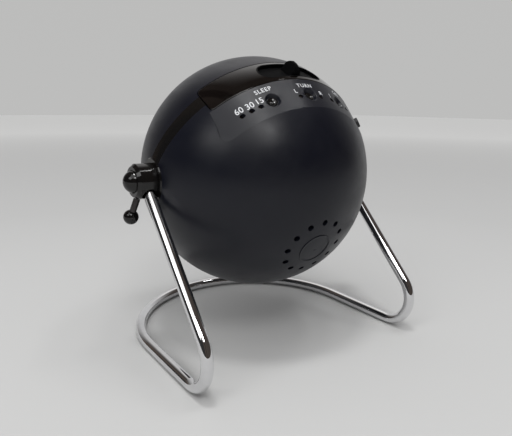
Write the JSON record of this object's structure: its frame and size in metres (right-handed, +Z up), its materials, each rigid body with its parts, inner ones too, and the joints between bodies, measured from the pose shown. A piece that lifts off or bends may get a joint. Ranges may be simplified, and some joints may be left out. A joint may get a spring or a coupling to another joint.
{
  "type": "home planetarium projector",
  "caption": "Tabletop star projector: a dark globe with a focusing lens tilts between the arms of a bent chrome rod stand; a slide-out tray holds the star disc.",
  "frame": {"origin": "middle of the bounding box's underside, on the table between the two legs of the stand", "axes": "+Z up from the table; +X along the pivot axis, from the lever side to the inlet side; +Y the way the lens looks, so that the controls face -Y"},
  "size_m": [0.1588, 0.1379, 0.1588],
  "materials": {
    "dark_shell": "fine satin moulding, dark blue-grey",
    "black_gloss": "glossy black moulding",
    "black_satin": "satin black moulding",
    "smoked_lid": "glossy smoked plastic",
    "chrome_rod": "bright chrome plating",
    "screw_steel": "zinc-plated screw",
    "black_steel": "blackened steel rod",
    "lens_glass": "coated optical glass",
    "star_film": "dark photographic film disc",
    "disc_rim": "moulded disc rim",
    "light_pipe": "clear tinted light pipe",
    "board_green": "green circuit board",
    "switch_black": "tact switch housing",
    "sink_aluminium": "bare extruded aluminium",
    "emitter_resin": "clear resin dome over a yellow phosphor",
    "motor_steel": "motor can",
    "tyre_rubber": "soft rubber",
    "washer_fibre": "friction washer"
  },
  "bodies": {
    "base": {"wire_stand": "chrome_rod", "left_hub_housing": "black_gloss", "right_hub_housing": "black_gloss", "left_hub_cap": "black_gloss", "right_hub_cap": "black_gloss", "friction_washers": "washer_fibre", "pivot_spacer": "black_satin"},
    "lever": {"lock_ring": "black_satin", "lock_lever": "black_steel", "lock_lever_knob": "black_gloss"},
    "globe": {"left_pivot_flange": "black_gloss", "right_pivot_flange": "black_gloss", "pivot_washers": "screw_steel", "pivot_screws": "screw_steel", "front_shell": "dark_shell", "seam_band": "black_gloss", "rear_shell": "dark_shell", "rear_badge": "dark_shell", "timer_light_15": "light_pipe", "timer_light_30": "light_pipe", "timer_light_60": "light_pipe", "move_light_north": "light_pipe", "move_light_south": "light_pipe", "power_light_left": "light_pipe", "power_light_right": "light_pipe", "control_board": "board_green", "tact_switches": "switch_black", "board_screws": "screw_steel", "dc_inlet": "black_satin", "chassis_plate": "black_satin", "chassis_screws": "screw_steel", "case_screws": "screw_steel", "drive_motor": "motor_steel", "lamp_housing": "black_satin", "condenser_lens": "lens_glass", "led_board": "sink_aluminium", "led_emitter": "emitter_resin", "heat_sink": "sink_aluminium", "lens_mount": "black_satin", "lens_mount_screws": "screw_steel", "lens_trim_ring": "black_gloss"},
    "focus_ring": {"focus_ring": "black_satin"},
    "lens": {"lens_barrel": "black_satin", "rear_lens": "lens_glass", "middle_lens": "lens_glass", "front_lens": "lens_glass", "rear_lens_spacer": "black_satin", "front_lens_spacer": "black_satin", "lens_retaining_ring": "black_satin"},
    "tray": {"disc_tray": "black_satin", "disc_door": "smoked_lid", "door_grip": "black_gloss"},
    "disc": {"star_disc": "star_film", "star_disc_frame": "disc_rim"},
    "roller": {"drive_roller": "black_satin", "roller_tyre": "tyre_rubber"},
    "timer_button": {"timer_button": "black_gloss"},
    "move_button": {"move_button": "black_gloss"},
    "power_button": {"power_button": "black_gloss"}
  },
  "joints": [
    {"name": "globe_tilt", "type": "hinge", "parent": "base", "child": "globe", "pos_m": [0, -0.00164, 0.0938], "axis": [1, 0, 0], "range_deg": [-31, 59]},
    {"name": "lock_lever_turn", "type": "hinge", "parent": "base", "child": "lever", "pos_m": [-0.0705, -0.00164, 0.0938], "axis": [1, 0, 0], "range_deg": [0, 35]},
    {"name": "focus_ring_turn", "type": "hinge", "parent": "globe", "child": "focus_ring", "pos_m": [0, 0.04336, 0.12084], "axis": [0, 0.8572, 0.515], "range_deg": [-60, 60]},
    {"name": "focus_slide", "type": "slide", "parent": "globe", "child": "lens", "axis": [0, 0.8572, 0.515], "range_m": [-0.0019, 0.0019]},
    {"name": "tray_slide", "type": "slide", "parent": "globe", "child": "tray", "axis": [0, -0.515, 0.8572], "range_m": [0, 0.1]},
    {"name": "star_disc_spin", "type": "hinge", "parent": "tray", "child": "disc", "pos_m": [0, -0.00164, 0.0938], "axis": [0, 0.8572, 0.515], "continuous": true},
    {"name": "drive_roller_spin", "type": "hinge", "parent": "globe", "child": "roller", "pos_m": [0, 0.01911, 0.05926], "axis": [0, 0.8572, 0.515], "continuous": true},
    {"name": "timer_button_press", "type": "slide", "parent": "globe", "child": "timer_button", "axis": [0, 0.7177, -0.6963], "range_m": [0, 0.0006], "stiffness_N_per_m": 1000, "springref_m": -0.0003},
    {"name": "move_button_press", "type": "slide", "parent": "globe", "child": "move_button", "axis": [0, 0.7177, -0.6963], "range_m": [0, 0.0006], "stiffness_N_per_m": 1000, "springref_m": -0.0003},
    {"name": "power_button_press", "type": "slide", "parent": "globe", "child": "power_button", "axis": [0, 0.7177, -0.6963], "range_m": [0, 0.0006], "stiffness_N_per_m": 1000, "springref_m": -0.0003}
  ],
  "couplings": [
    {"joint": "focus_ring_turn", "follows": "focus_slide", "rad_per_m": 550},
    {"joint": "drive_roller_spin", "follows": "star_disc_spin", "ratio": -9}
  ]
}
